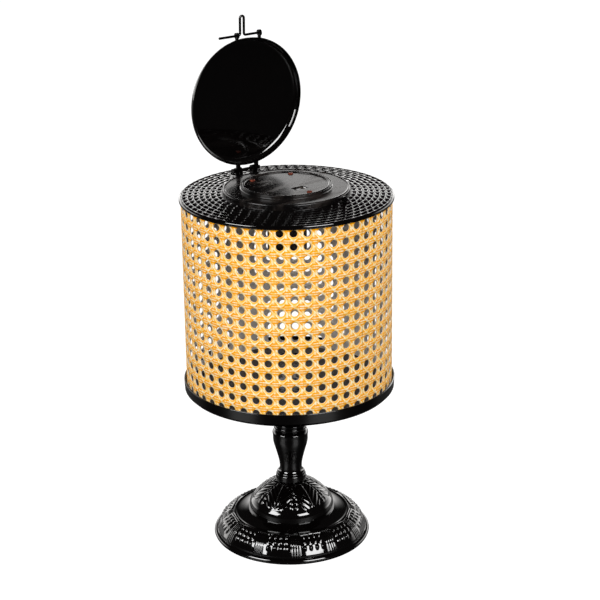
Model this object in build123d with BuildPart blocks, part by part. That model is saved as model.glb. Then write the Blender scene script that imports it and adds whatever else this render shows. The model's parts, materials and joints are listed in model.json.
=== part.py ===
"""Table-top ashtray bin: a perforated cane-pattern drum on a turned pedestal.

The drum stands in a shallow pan on top of a cast foot and baluster stem.  Its embossed
top plate carries a smooth collar, a spring-loaded press-down trap disc and a hinged cap
lid with a sliding wire latch.  Ash drops past the trap disc into the drum, and the drum
lifts off the pan to be emptied.

Frame: millimetres, +Z up, origin at the centre of the foot on the floor.  The lid hinge
is on the +Y side and the latch on the -Y side.  The lid is modelled wide open.
"""
import os
from math import cos, pi, radians, sin

from build123d import *

# ---- driving dimensions ------------------------------------------------------------
# pedestal
BASE_R = 78.4                # outer radius of the foot's lip
BELL_R = 42.0                # foot of the central bell of the base
BAND_R = 57.0                # inner edge of the ornamental border
BASE_TOP = 57.0              # top of the base, where the stem starts
ROD_R = 4.0                  # M8 tie rod through foot, stem and pan
ROD_HOLE_R = 4.3
BOSS_R = 10.0                # boss under the bell that the lower washer bears on
BOSS_Z = 44.0

# pan
PAN_Z = 158.0                # underside of the pan
PAN_R = 103.7                # outer radius at the rim
PAN_RIM_Z = 170.7            # top of the rim
PAN_T = 1.5                  # sheet thickness

# drum
PITCH = 12.7                 # standard cane mesh pitch, hole centre to hole centre
COLUMNS = 50                 # holes around the drum
ROWS = 15                    # rows of holes
HOLE_R = 3.55                # hole radius
DRUM_R = COLUMNS * PITCH / (2 * pi)      # outer radius, 101.06
SHEET_T = 1.0
DRUM_Z0 = PAN_Z + PAN_T + 0.3            # lower edge stands just clear of the pan floor
DRUM_Z1 = 353.6
FIRST_ROW_Z = 347.8          # centre height of the top row of holes
FIRST_COLUMN = 4.25          # azimuth of one column, degrees from -Y towards +X
COLUMN_STEP = 360 / COLUMNS
SEAM_AZ = FIRST_COLUMN + COLUMN_STEP / 2         # lap seam, midway between two columns

# top plate
PLATE_R = 102.7
PLATE_EDGE_Z = 355.3         # height of the plate at its rolled edge
PLATE_TOP_Z = 357.4          # height beside the collar
PLATE_FLAT_R = 64.5          # the plate is level from here inwards
PLATE_HOLE_R = 59.0
PLATE_T = 1.0
PLATE_FIT = 0.3              # room between the drum and the plate's turned-down rim
SKIRT_Z = 351.8              # lower edge of the plate's turned-down rim

# collar around the trap
COLLAR_R = 61.0
COLLAR_Z = 362.9
COLLAR_T = 0.9
NECK_R = 43.6                # outer radius of the raised neck
NECK_HOLE_R = 42.85
NECK_Z = 365.9

# trap disc and its mechanism
TRAP_R = 42.3
TRAP_Z = 366.2               # top of the disc's bead
TRAP_FACE_Z = 365.2          # face inside the bead
TRAP_T = 1.0
TRAP_STROKE = 11.0
RIVET_R = 35.0               # radius the rivets sit on
RIVET_AZ = (3.0, 138.0, -147.0)          # degrees from -Y towards +X
RIVET_SHANK_R = 1.6
RIVET_HEAD_R = 2.6
SLOT = (14.3, 9.0)           # finger slot in the disc
SLOT_POS = (2.0, -18.5)
ARM_W = 5.0                  # width of the spider's arms
ARM_END_R = 4.0              # pad around each rivet
SPINDLE_R = 3.0
CAN_R = 19.0                 # spring can
CAN_Z0 = 298.0
CAN_Z1 = 348.0
CAN_T = 1.0
GUIDE_T = 2.0                # guide plate closing the can
STOP_T = 2.0                 # stop collar on the spindle
SPRING_R = 9.0
SPRING_WIRE_R = 0.7
SPRING_TURNS = 8

# lid, given as it lies when closed, relative to the hinge axis
HINGE_Y = 68.5
HINGE_Z = 364.8
LID_OPEN = 88.5              # opening angle of the modelled pose, degrees
LID_R = 62.8
LID_T = 0.8
LID_RIM = 360.6 - HINGE_Z    # lower edge of the lid's skirt
LID_TOP = 367.9 - HINGE_Z
LID_EDGE_R = 6.0             # rounding of the lid's outer edge

# hinge
PIN_R = 1.5
PIN_CLEARANCE = 0.06
PIN_HALF = 16.0
EAR_X = 6.8                  # middle of each bracket ear
EAR_T = 1.8
KNUCKLE_X = 10.6             # middle of each lid knuckle
KNUCKLE_W = 4.0
KNUCKLE_R = 3.0
TAIL = 5.4                   # heel of the knuckle, measured from the axis
TAIL_T = 1.6
STOP_GAP = 0.35

# latch
WIRE_R = 1.2                 # bolt wire
EYE_R = 3.0
EYE_T = 2.4
EYE_X = (-11.2, 14.6)
LATCH_OUT = 3.0              # bolt axis outside the lid's skirt
LATCH_H = -3.0               # bolt axis above the hinge axis, lid closed
BOLT_LEFT = -31.6
BOLT_RIGHT = 16.7
HAIRPIN_X = (-7.5, -3.1)
HAIRPIN_H = 18.5
BEND_R = 2.0
KEEPER_X = 19.6

os.makedirs("parts", exist_ok=True)


# ---- helpers -----------------------------------------------------------------------
def azimuth_point(radius, degrees):
    """Point at a radius, with azimuth measured from -Y towards +X."""
    a = radians(degrees)
    return (radius * sin(a), -radius * cos(a))


def placed(frame, plane):
    """A standard plane moved into another frame."""
    return Plane(frame.location * plane.location)


def along_x(frame, x, y=0.0, z=0.0):
    """Plane facing +X of a frame, with its own x along the frame's Y and y along Z."""
    local = Plane(origin=(x, y, z), x_dir=(0, 1, 0), z_dir=(1, 0, 0))
    return placed(frame, local)


def finish(build, label):
    """Name a finished piece and write it out."""
    build.part.label = label
    export_step(build.part, f"parts/{label}.step")


HINGE_FRAME = Plane(
    origin=(0, HINGE_Y, HINGE_Z),
    x_dir=(1, 0, 0),
    z_dir=(0, sin(radians(LID_OPEN)), cos(radians(LID_OPEN))),
)
LID_FRAME = placed(HINGE_FRAME, Plane(origin=(0, -HINGE_Y, 0)))
FIXED_HINGE = Plane(origin=(0, HINGE_Y, HINGE_Z))


# ---- pedestal ----------------------------------------------------------------------
# Cast foot: bell in the middle, concave band, convex ornamental border, thin lip.
LIP_R = 76.0
LIP_Z = 5.0
with BuildPart() as base_foot:
    with BuildSketch(Plane.XZ):
        with BuildLine():
            Line((ROD_HOLE_R, BASE_TOP), (12.5, BASE_TOP))
            bell = [(12.5, BASE_TOP), (24, 51.3), (36, 40), (BELL_R, 31)]
            Spline(bell, tangents=[(1, -0.12), (0.3, -1)])
            ThreePointArc((BELL_R, 31), (47.5, 25.2), (BAND_R - 2, 23.2))
            Line((BAND_R - 2, 23.2), (BAND_R, 23.6))
            border = [(BAND_R, 23.6), (63, 21.4), (70, 15.4), (LIP_R, LIP_Z)]
            Spline(border, tangents=[(1, 0), (0.45, -1)])
            lip = [(LIP_R, LIP_Z), (BASE_R - 0.5, 3.6), (BASE_R, 1.6)]
            Spline(lip, tangents=[(1, -0.1), (0, -1)])
            Line((BASE_R, 1.6), (BASE_R - 1.0, 0))
            Line((BASE_R - 1.0, 0), (LIP_R - 1.5, 0))
            under_border = [(LIP_R - 1.5, 0), (67, 13.2), (60.5, 18.2), (BAND_R - 2, 19.8)]
            Spline(under_border, tangents=[(-0.2, 1), (-1, 0)])
            under_bell = [(BAND_R - 2, 19.8), (46, 20.8), (39, 29), (33, 38), (22, 47.5)]
            Spline(under_bell, tangents=[(-1, 0), (-1, 0.7)])
            Line((22, 47.5), (BOSS_R, 51.0))
            Line((BOSS_R, 51.0), (BOSS_R, BOSS_Z))
            Line((BOSS_R, BOSS_Z), (ROD_HOLE_R, BOSS_Z))
            Line((ROD_HOLE_R, BOSS_Z), (ROD_HOLE_R, BASE_TOP))
        make_face()
    revolve(axis=Axis.Z)
finish(base_foot, "base_foot")

# Turned baluster: foot ring, waist, vase-shaped body, two rings, flared head.
HEAD_R = 28.0
with BuildPart() as stem:
    with BuildSketch(Plane.XZ):
        with BuildLine():
            Line((ROD_HOLE_R, BASE_TOP), (13.6, BASE_TOP))
            ThreePointArc((13.6, BASE_TOP), (14.7, 57.8), (15.0, 59.2))
            Line((15.0, 59.2), (15.0, 62.6))
            ThreePointArc((15.0, 62.6), (14.6, 63.8), (13.5, 64.3))
            ThreePointArc((13.5, 64.3), (14.0, 65.4), (13.0, 66.4))
            waist = [(13.0, 66.4), (11.1, 73), (12.9, 83), (15.8, 93.6)]
            vase = waist + [(17.4, 101.5), (17.5, 106.4), (15.0, 112.4)]
            Spline(vase, tangents=[(-1, 0.6), (-1, 0.8)])
            ThreePointArc((15.0, 112.4), (16.2, 114.4), (15.0, 116.4))
            ThreePointArc((15.0, 116.4), (15.5, 118.2), (14.2, 120.0))
            neck = [(14.2, 120.0), (11.5, 130), (14, 145), (HEAD_R, 155.5)]
            Spline(neck, tangents=[(-1, 0.6), (1, 0.2)])
            Line((HEAD_R, 155.5), (HEAD_R, PAN_Z))
            Line((HEAD_R, PAN_Z), (ROD_HOLE_R, PAN_Z))
            Line((ROD_HOLE_R, PAN_Z), (ROD_HOLE_R, BASE_TOP))
        make_face()
    revolve(axis=Axis.Z)
finish(stem, "stem")

# Pan: flat floor, rounded corner and a low upright rim around the drum's foot.
PAN_FLOOR = PAN_Z + PAN_T
with BuildPart() as pan:
    with BuildSketch(Plane.XZ):
        with BuildLine():
            Line((ROD_HOLE_R, PAN_Z), (PAN_R - 3.5, PAN_Z))
            Line((PAN_R - 3.5, PAN_Z), (PAN_R - 0.5, PAN_Z + 3))
            Line((PAN_R - 0.5, PAN_Z + 3), (PAN_R, PAN_RIM_Z))
            Line((PAN_R, PAN_RIM_Z), (PAN_R - PAN_T, PAN_RIM_Z))
            Line((PAN_R - PAN_T, PAN_RIM_Z), (PAN_R - 0.4 - PAN_T, PAN_FLOOR + 0.3))
            Line((PAN_R - 0.4 - PAN_T, PAN_FLOOR + 0.3), (PAN_R - 0.7 - PAN_T, PAN_FLOOR))
            Line((PAN_R - 0.7 - PAN_T, PAN_FLOOR), (ROD_HOLE_R, PAN_FLOOR))
            Line((ROD_HOLE_R, PAN_FLOOR), (ROD_HOLE_R, PAN_Z))
        make_face()
    revolve(axis=Axis.Z)
    fillet(pan.edges().group_by(Axis.Z)[-1], 0.6)
finish(pan, "pan")

# Tie rod with a nut and a washer at each end.
WASHER_T = 1.6
NUT_H = 6.5
NUT_CORNER_R = 7.5
ROD_END = 2.0                # length of rod showing past each nut
ROD_Z0 = BOSS_Z - WASHER_T - NUT_H - ROD_END
ROD_Z1 = PAN_FLOOR + WASHER_T + NUT_H + ROD_END
with BuildPart() as tie_rod:
    with BuildSketch(Plane.XY.offset(ROD_Z0)):
        Circle(ROD_R)
    extrude(amount=ROD_Z1 - ROD_Z0)
    chamfer(tie_rod.faces().filter_by(Plane.XY).edges(), 0.6)
finish(tie_rod, "tie_rod")

with BuildPart() as tie_washers:
    for z, radius in ((BOSS_Z - WASHER_T, 9.5), (PAN_FLOOR, 15.0)):
        with BuildSketch(Plane.XY.offset(z)):
            Circle(radius)
            Circle(ROD_HOLE_R, mode=Mode.SUBTRACT)
        extrude(amount=WASHER_T)
finish(tie_washers, "tie_washers")

with BuildPart() as tie_nuts:
    for z in (BOSS_Z - WASHER_T - NUT_H, PAN_FLOOR + WASHER_T):
        with BuildSketch(Plane.XY.offset(z)):
            RegularPolygon(NUT_CORNER_R, 6)
            Circle(ROD_R, mode=Mode.SUBTRACT)
        extrude(amount=NUT_H)
finish(tie_nuts, "tie_nuts")


# ---- drum --------------------------------------------------------------------------
# Perforated sheet rolled into a drum.  Bending between the columns of holes leaves each
# column on its own narrow flat; the ends are lapped inside over one column at the seam.
FLAT_TO_CORNER = 1 / cos(pi / COLUMNS)


def drum_polygon(apothem):
    """Many-sided section of the drum, with one flat centred on each column."""
    turn = FIRST_COLUMN - 90 + COLUMN_STEP / 2
    return RegularPolygon(apothem * FLAT_TO_CORNER, COLUMNS, rotation=turn, mode=Mode.PRIVATE)


with BuildPart() as cane_sheet:
    with BuildSketch(Plane.XY.offset(DRUM_Z0)):
        add(drum_polygon(DRUM_R))
        add(drum_polygon(DRUM_R - SHEET_T), mode=Mode.SUBTRACT)
        lap = [(r, az) for r, az in (
            (DRUM_R - SHEET_T, SEAM_AZ),
            (DRUM_R - SHEET_T, SEAM_AZ + COLUMN_STEP),
            (DRUM_R - 2 * SHEET_T, SEAM_AZ + COLUMN_STEP),
            (DRUM_R - 2 * SHEET_T, SEAM_AZ),
        )]
        with BuildLine():
            Polyline([azimuth_point(r * FLAT_TO_CORNER, az) for r, az in lap], close=True)
        make_face()
    extrude(amount=DRUM_Z1 - DRUM_Z0)
    # each cutter runs right across the drum and makes two opposite columns of holes
    for column in range(COLUMNS // 2):
        turn = radians(FIRST_COLUMN + column * COLUMN_STEP)
        outward = (sin(turn), -cos(turn), 0)
        across = Plane(origin=(0, 0, FIRST_ROW_Z), x_dir=(cos(turn), sin(turn), 0), z_dir=outward)
        with BuildSketch(across):
            with Locations([(0, -row * PITCH) for row in range(ROWS)]):
                Circle(HOLE_R)
        extrude(amount=DRUM_R + 2, both=True, mode=Mode.SUBTRACT)
finish(cane_sheet, "cane_sheet")

# Embossed top plate, slightly coned, with a rolled edge that caps the sheet.
with BuildPart() as top_plate:
    with BuildSketch(Plane.XZ):
        with BuildLine():
            Line((PLATE_HOLE_R, PLATE_TOP_Z), (PLATE_FLAT_R, PLATE_TOP_Z))
            Line((PLATE_FLAT_R, PLATE_TOP_Z), (PLATE_R - 1.4, PLATE_EDGE_Z))
            ThreePointArc(
                (PLATE_R - 1.4, PLATE_EDGE_Z),
                (PLATE_R - 0.4, PLATE_EDGE_Z - 0.4),
                (PLATE_R, PLATE_EDGE_Z - 1.4),
            )
            Line((PLATE_R, PLATE_EDGE_Z - 1.4), (PLATE_R, SKIRT_Z))
            Line((PLATE_R, SKIRT_Z), (DRUM_R + PLATE_FIT, SKIRT_Z))
            Line((DRUM_R + PLATE_FIT, SKIRT_Z), (DRUM_R + PLATE_FIT, DRUM_Z1 + 0.5))
            Line((DRUM_R + PLATE_FIT, DRUM_Z1 + 0.5), (PLATE_FLAT_R, PLATE_TOP_Z - PLATE_T))
            Line((PLATE_FLAT_R, PLATE_TOP_Z - PLATE_T), (PLATE_HOLE_R, PLATE_TOP_Z - PLATE_T))
            Line((PLATE_HOLE_R, PLATE_TOP_Z - PLATE_T), (PLATE_HOLE_R, PLATE_TOP_Z))
        make_face()
    revolve(axis=Axis.Z)
finish(top_plate, "top_plate")

# Smooth collar: outer wall, flange and the raised neck around the trap.
FLANGE_Z = COLLAR_Z - 0.5    # top of the flange, just below the collar's rounded edge
FLANGE_UNDER = FLANGE_Z - COLLAR_T
with BuildPart() as collar:
    with BuildSketch(Plane.XZ):
        with BuildLine():
            Line((COLLAR_R, PLATE_TOP_Z), (COLLAR_R, COLLAR_Z - 1.5))
            ThreePointArc(
                (COLLAR_R, COLLAR_Z - 1.5),
                (COLLAR_R - 0.44, COLLAR_Z - 0.44),
                (COLLAR_R - 1.5, COLLAR_Z),
            )
            ThreePointArc(
                (COLLAR_R - 1.5, COLLAR_Z),
                (COLLAR_R - 2.3, COLLAR_Z - 0.2),
                (COLLAR_R - 3.0, FLANGE_Z),
            )
            Line((COLLAR_R - 3.0, FLANGE_Z), (NECK_R + 1.0, FLANGE_Z))
            ThreePointArc(
                (NECK_R + 1.0, FLANGE_Z),
                (NECK_R + 0.3, FLANGE_Z + 0.3),
                (NECK_R, FLANGE_Z + 1.0),
            )
            Line((NECK_R, FLANGE_Z + 1.0), (NECK_R, NECK_Z - 0.3))
            neck_middle = ((NECK_R + NECK_HOLE_R) / 2, NECK_Z)
            ThreePointArc((NECK_R, NECK_Z - 0.3), neck_middle, (NECK_HOLE_R, NECK_Z - 0.3))
            Line((NECK_HOLE_R, NECK_Z - 0.3), (NECK_HOLE_R, FLANGE_UNDER))
            Line((NECK_HOLE_R, FLANGE_UNDER), (COLLAR_R - 2.4, FLANGE_UNDER))
            Line((COLLAR_R - 2.4, FLANGE_UNDER), (COLLAR_R - COLLAR_T, COLLAR_Z - 2.6))
            Line((COLLAR_R - COLLAR_T, COLLAR_Z - 2.6), (COLLAR_R - COLLAR_T, PLATE_TOP_Z))
            Line((COLLAR_R - COLLAR_T, PLATE_TOP_Z), (COLLAR_R, PLATE_TOP_Z))
        make_face()
    revolve(axis=Axis.Z)
finish(collar, "collar")


# ---- trap --------------------------------------------------------------------------
# Press-down disc with a bead around its edge and a finger slot.
with BuildPart() as trap_disc:
    with BuildSketch(Plane.XZ):
        with BuildLine():
            Line((0, TRAP_FACE_Z - TRAP_T), (0, TRAP_FACE_Z))
            Line((0, TRAP_FACE_Z), (TRAP_R - 2.6, TRAP_FACE_Z))
            ThreePointArc((TRAP_R - 2.6, TRAP_FACE_Z), (TRAP_R - 1.0, TRAP_Z), (TRAP_R, TRAP_FACE_Z + 0.2))
            Line((TRAP_R, TRAP_FACE_Z + 0.2), (TRAP_R, TRAP_FACE_Z - 2.2))
            Line((TRAP_R, TRAP_FACE_Z - 2.2), (TRAP_R - TRAP_T, TRAP_FACE_Z - 2.2))
            Line((TRAP_R - TRAP_T, TRAP_FACE_Z - 2.2), (TRAP_R - TRAP_T, TRAP_FACE_Z - TRAP_T))
            Line((TRAP_R - TRAP_T, TRAP_FACE_Z - TRAP_T), (0, TRAP_FACE_Z - TRAP_T))
        make_face()
    revolve(axis=Axis.Z)
    with BuildSketch(Plane.XY.offset(TRAP_FACE_Z)):
        with Locations(SLOT_POS):
            RectangleRounded(*SLOT, radius=1.0)
        with Locations([azimuth_point(RIVET_R, az) for az in RIVET_AZ]):
            Circle(RIVET_SHANK_R)
    extrude(amount=-TRAP_T, mode=Mode.SUBTRACT)
finish(trap_disc, "trap_disc")

# Three-armed spider under the disc, with the hub that holds the spindle.
SPIDER_T = 1.2
SPIDER_TOP = TRAP_FACE_Z - TRAP_T
HUB_R = 7.0
HUB_H = 3.6
with BuildPart() as trap_spider:
    with BuildSketch(Plane.XY.offset(SPIDER_TOP)):
        Circle(12.0)
        for az in RIVET_AZ:
            with BuildLine(mode=Mode.PRIVATE) as arm:
                Line((0, 0), azimuth_point(RIVET_R, az))
            with Locations(arm.line @ 0.5):
                Rectangle(RIVET_R, ARM_W, rotation=az - 90)
            with Locations(azimuth_point(RIVET_R, az)):
                Circle(ARM_END_R)
        with Locations([azimuth_point(RIVET_R, az) for az in RIVET_AZ]):
            Circle(RIVET_SHANK_R, mode=Mode.SUBTRACT)
        Circle(SPINDLE_R, mode=Mode.SUBTRACT)
    extrude(amount=-SPIDER_T)
    with BuildSketch(Plane.XY.offset(SPIDER_TOP - SPIDER_T)):
        Circle(HUB_R)
        Circle(SPINDLE_R, mode=Mode.SUBTRACT)
    extrude(amount=-HUB_H)
finish(trap_spider, "trap_spider")

# Three domed rivets joining the disc to the spider.
RIVET_TAIL_T = 0.8
RIVET_HEAD_T = 1.2
with BuildPart() as trap_rivets:
    rivet_spots = [azimuth_point(RIVET_R, az) for az in RIVET_AZ]
    levels = (
        (SPIDER_TOP - SPIDER_T - RIVET_TAIL_T, RIVET_TAIL_T, RIVET_HEAD_R),
        (SPIDER_TOP - SPIDER_T, SPIDER_T + TRAP_T, RIVET_SHANK_R),
        (TRAP_FACE_Z, RIVET_HEAD_T, RIVET_HEAD_R),
    )
    for z, height, radius in levels:
        with BuildSketch(Plane.XY.offset(z)):
            with Locations(rivet_spots):
                Circle(radius)
        extrude(amount=height)
    fillet(trap_rivets.edges().group_by(Axis.Z)[-1], RIVET_HEAD_T * 0.8)
finish(trap_rivets, "trap_rivets")

# Spindle: runs from the disc's hub down through the guide plate into the can.
SPINDLE_Z0 = CAN_Z0 + CAN_T + TRAP_STROKE + 4
with BuildPart() as spindle:
    with BuildSketch(Plane.XY.offset(SPINDLE_Z0)):
        Circle(SPINDLE_R)
    extrude(amount=SPIDER_TOP - SPINDLE_Z0)
    chamfer(spindle.faces().sort_by(Axis.Z)[0].edges(), 0.6)
finish(spindle, "spindle")

# Spring can: drawn cup with a rounded bottom edge.
with BuildPart() as spring_can:
    with BuildSketch(Plane.XZ):
        with BuildLine():
            Line((0, CAN_Z0), (CAN_R - 4, CAN_Z0))
            ThreePointArc((CAN_R - 4, CAN_Z0), (CAN_R - 1.17, CAN_Z0 + 1.17), (CAN_R, CAN_Z0 + 4))
            Line((CAN_R, CAN_Z0 + 4), (CAN_R, CAN_Z1))
            Line((CAN_R, CAN_Z1), (CAN_R - CAN_T, CAN_Z1))
            Line((CAN_R - CAN_T, CAN_Z1), (CAN_R - CAN_T, CAN_Z0 + 4))
            ThreePointArc(
                (CAN_R - CAN_T, CAN_Z0 + 4),
                (CAN_R - 1.88, CAN_Z0 + 1.88),
                (CAN_R - 4, CAN_Z0 + CAN_T),
            )
            Line((CAN_R - 4, CAN_Z0 + CAN_T), (0, CAN_Z0 + CAN_T))
            Line((0, CAN_Z0 + CAN_T), (0, CAN_Z0))
        make_face()
    revolve(axis=Axis.Z)
finish(spring_can, "spring_can")

# Guide plate pressed into the can's mouth; the spindle runs in its bore.
GUIDE_Z0 = CAN_Z1 - GUIDE_T
with BuildPart() as guide_plate:
    with BuildSketch(Plane.XY.offset(GUIDE_Z0)):
        Circle(CAN_R - CAN_T)
        Circle(SPINDLE_R + 0.08, mode=Mode.SUBTRACT)
    extrude(amount=GUIDE_T)
finish(guide_plate, "guide_plate")

# Stop collar fixed on the spindle: the spring pushes it up against the guide plate.
STOP_Z1 = GUIDE_Z0 - 0.3
with BuildPart() as stop_collar:
    with BuildSketch(Plane.XY.offset(STOP_Z1 - STOP_T)):
        Circle(SPRING_R + 2.5)
        Circle(SPINDLE_R, mode=Mode.SUBTRACT)
    extrude(amount=STOP_T)
finish(stop_collar, "stop_collar")

# Compression spring between the can's floor and the stop collar.
SPRING_Z0 = CAN_Z0 + CAN_T + SPRING_WIRE_R
SPRING_Z1 = STOP_Z1 - STOP_T - SPRING_WIRE_R
with BuildPart() as trap_spring:
    coil_height = SPRING_Z1 - SPRING_Z0
    with BuildLine(Plane.XY.offset(SPRING_Z0)):
        coil = Helix(pitch=coil_height / SPRING_TURNS, height=coil_height, radius=SPRING_R)
    with BuildSketch(Plane(origin=coil @ 0, z_dir=coil % 0)):
        Circle(SPRING_WIRE_R)
    sweep(is_frenet=True)
finish(trap_spring, "trap_spring")

# Bracket: ring under the collar's flange with three legs.  The legs drop straight past
# the pressed disc before they turn in to the can.
BRACKET_T = 1.2
BRACKET_TOP = FLANGE_UNDER
LEG_W = 9.0
LEG_AZ = (60.0, 180.0, 300.0)
LEG_R = 45.0                 # inner face of the upright part
LEG_KNEE_Z = 349.5
LEG_FOOT_Z = 338.0
LEG_END_Z = 328.0
with BuildPart() as can_bracket:
    with BuildSketch(Plane.XY.offset(BRACKET_TOP)):
        Circle(53.0)
        Circle(LEG_R, mode=Mode.SUBTRACT)
    extrude(amount=-BRACKET_T)
    for az in LEG_AZ:
        a = radians(az)
        upright = Plane(origin=(0, 0, 0), x_dir=(sin(a), -cos(a), 0), z_dir=(-cos(a), -sin(a), 0))
        with BuildSketch(upright):
            with BuildLine():
                Polyline(
                    (LEG_R, BRACKET_TOP),
                    (LEG_R, LEG_KNEE_Z),
                    (CAN_R, LEG_FOOT_Z),
                    (CAN_R, LEG_END_Z),
                    (CAN_R + BRACKET_T, LEG_END_Z),
                    (CAN_R + BRACKET_T, LEG_FOOT_Z - BRACKET_T / 2),
                    (LEG_R + BRACKET_T, LEG_KNEE_Z - BRACKET_T / 2),
                    (LEG_R + BRACKET_T, BRACKET_TOP),
                    close=True,
                )
            make_face()
        extrude(amount=LEG_W / 2, both=True)
finish(can_bracket, "can_bracket")


# ---- lid ---------------------------------------------------------------------------
# Cap lid: a flat disc with a rounded edge and a short skirt that drops over the collar.
with BuildPart() as lid:
    with BuildSketch(placed(LID_FRAME, Plane.XZ)):
        inner_top = LID_TOP - LID_T
        inner_r = LID_R - LID_T
        corner = LID_EDGE_R - LID_T
        slant = sin(radians(45))
        with BuildLine():
            Line((0, LID_TOP), (LID_R - LID_EDGE_R, LID_TOP))
            ThreePointArc(
                (LID_R - LID_EDGE_R, LID_TOP),
                (LID_R - LID_EDGE_R * (1 - slant), LID_TOP - LID_EDGE_R * (1 - slant)),
                (LID_R, LID_TOP - LID_EDGE_R),
            )
            Line((LID_R, LID_TOP - LID_EDGE_R), (LID_R, LID_RIM))
            Line((LID_R, LID_RIM), (inner_r, LID_RIM))
            Line((inner_r, LID_RIM), (inner_r, inner_top - corner))
            ThreePointArc(
                (inner_r, inner_top - corner),
                (inner_r - corner * (1 - slant), inner_top - corner * (1 - slant)),
                (inner_r - corner, inner_top),
            )
            Line((inner_r - corner, inner_top), (0, inner_top))
            Line((0, inner_top), (0, LID_TOP))
        make_face()
    revolve(axis=Axis(LID_FRAME.origin, LID_FRAME.z_dir))
finish(lid, "lid")


# Space inside the middle of the skirt's sheet, cut from the pieces that sit on the skirt.
with BuildPart() as skirt_inside:
    with BuildSketch(placed(LID_FRAME, Plane.XY.offset(LID_RIM - 2))):
        Circle(LID_R - LID_T / 2)
    extrude(amount=LID_TOP - LID_RIM + 4)


def knuckle_outline(bore):
    """Knuckle seen along the hinge axis: eye, arm to the lid's skirt, heel."""
    reach = HINGE_Y - LID_R + 3
    with BuildSketch(mode=Mode.PRIVATE) as outline:
        Circle(KNUCKLE_R)
        with Locations((-reach / 2, -2.2)):
            Rectangle(reach, 2.0)
        with Locations((TAIL / 2, -TAIL_T / 2 + 0.3)):
            Rectangle(TAIL, TAIL_T)
        Circle(bore, mode=Mode.SUBTRACT)
    return outline.sketch


# Two knuckles fixed to the lid's skirt; each heel meets the bracket's lip when open.
with BuildPart() as lid_knuckles:
    for side in (-1, 1):
        with BuildSketch(along_x(HINGE_FRAME, side * KNUCKLE_X - KNUCKLE_W / 2)):
            add(knuckle_outline(PIN_R + PIN_CLEARANCE))
        extrude(amount=KNUCKLE_W)
    add(skirt_inside.part, mode=Mode.SUBTRACT)
finish(lid_knuckles, "lid_knuckles")

# Fixed hinge bracket: foot on the top plate, two ears and an upturned stop lip.
FOOT_Z = PLATE_TOP_Z - HINGE_Z - 0.4
FOOT_T = 1.2
STOP_Y = -(TAIL_T - 0.3) - STOP_GAP
with BuildPart() as hinge_bracket:
    with BuildSketch(along_x(FIXED_HINGE, -13.0)):
        with BuildLine():
            Polyline(
                (STOP_Y - 1.2, FOOT_Z),
                (4.6, FOOT_Z),
                (4.6, FOOT_Z + FOOT_T),
                (STOP_Y, FOOT_Z + FOOT_T),
                (STOP_Y, -3.9),
                (STOP_Y - 1.2, -3.9),
                close=True,
            )
        make_face()
    extrude(amount=26.0)
    for side in (-1, 1):
        with BuildSketch(along_x(FIXED_HINGE, side * EAR_X - EAR_T / 2)):
            Circle(KNUCKLE_R)
            with Locations((0, FOOT_Z / 2)):
                Rectangle(2 * KNUCKLE_R, -FOOT_Z)
            Circle(PIN_R, mode=Mode.SUBTRACT)
        extrude(amount=EAR_T)
finish(hinge_bracket, "hinge_bracket")

# Hinge pin with a flat head on the -X end.
with BuildPart() as hinge_pin:
    with BuildSketch(along_x(FIXED_HINGE, -PIN_HALF)):
        Circle(PIN_R)
    extrude(amount=2 * PIN_HALF)
    with BuildSketch(along_x(FIXED_HINGE, -PIN_HALF)):
        Circle(2.6)
    extrude(amount=1.4)
finish(hinge_pin, "hinge_pin")


# ---- latch -------------------------------------------------------------------------
LATCH_Y = -(HINGE_Y + LID_R + LATCH_OUT)
LATCH_FRAME = placed(HINGE_FRAME, Plane(origin=(0, LATCH_Y, LATCH_H)))

# Two eyes on the lid's skirt that guide the bolt.
with BuildPart() as latch_eyes:
    for x in EYE_X:
        sag = LID_R - (LID_R ** 2 - x ** 2) ** 0.5
        reach = LATCH_OUT + sag + 1
        with BuildSketch(along_x(LATCH_FRAME, x - EYE_T / 2)):
            Circle(EYE_R)
            with Locations((reach / 2, 0)):
                Rectangle(reach, 2.4)
            Circle(WIRE_R + PIN_CLEARANCE, mode=Mode.SUBTRACT)
        extrude(amount=EYE_T)
    add(skirt_inside.part, mode=Mode.SUBTRACT)
finish(latch_eyes, "latch_eyes")

# Sliding bolt: one bent wire with a hairpin thumb handle.
with BuildPart() as latch_bolt:
    with BuildLine(LATCH_FRAME):
        FilletPolyline(
            (BOLT_LEFT, 0),
            (HAIRPIN_X[0], 0),
            (HAIRPIN_X[0], -HAIRPIN_H),
            (HAIRPIN_X[1], -HAIRPIN_H),
            (HAIRPIN_X[1], 0),
            (BOLT_RIGHT, 0),
            radius=BEND_R,
        )
    with BuildSketch(along_x(LATCH_FRAME, BOLT_LEFT)):
        Circle(WIRE_R)
    sweep(transition=Transition.RIGHT)
    chamfer(latch_bolt.faces().sort_by(Axis.X)[0].edges(), 0.5)
finish(latch_bolt, "latch_bolt")

# Keeper: eye post on the top plate that the bolt enters when the lid is shut.
KEEPER = Plane(origin=(0, -(LID_R + LATCH_OUT), HINGE_Z + LATCH_H))
KEEPER_FOOT = PLATE_TOP_Z - (HINGE_Z + LATCH_H) - 0.4
with BuildPart() as latch_keeper:
    with BuildSketch(along_x(KEEPER, KEEPER_X - EYE_T / 2)):
        Circle(EYE_R)
        with Locations((0, KEEPER_FOOT / 2)):
            Rectangle(3.2, -KEEPER_FOOT)
        Circle(WIRE_R + 0.35, mode=Mode.SUBTRACT)
    extrude(amount=EYE_T)
finish(latch_keeper, "latch_keeper")
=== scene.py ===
"""Looks of the table-top ashtray bin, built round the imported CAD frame.

Shapes are written in millimetres and turned into metres where a mesh is made.  Azimuths
are in degrees from -Y towards +X, as in the CAD model.
"""
import json
from math import cos, pi, radians, sin

import bmesh
import bpy
import numpy as np
from mathutils import Matrix, Vector


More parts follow.
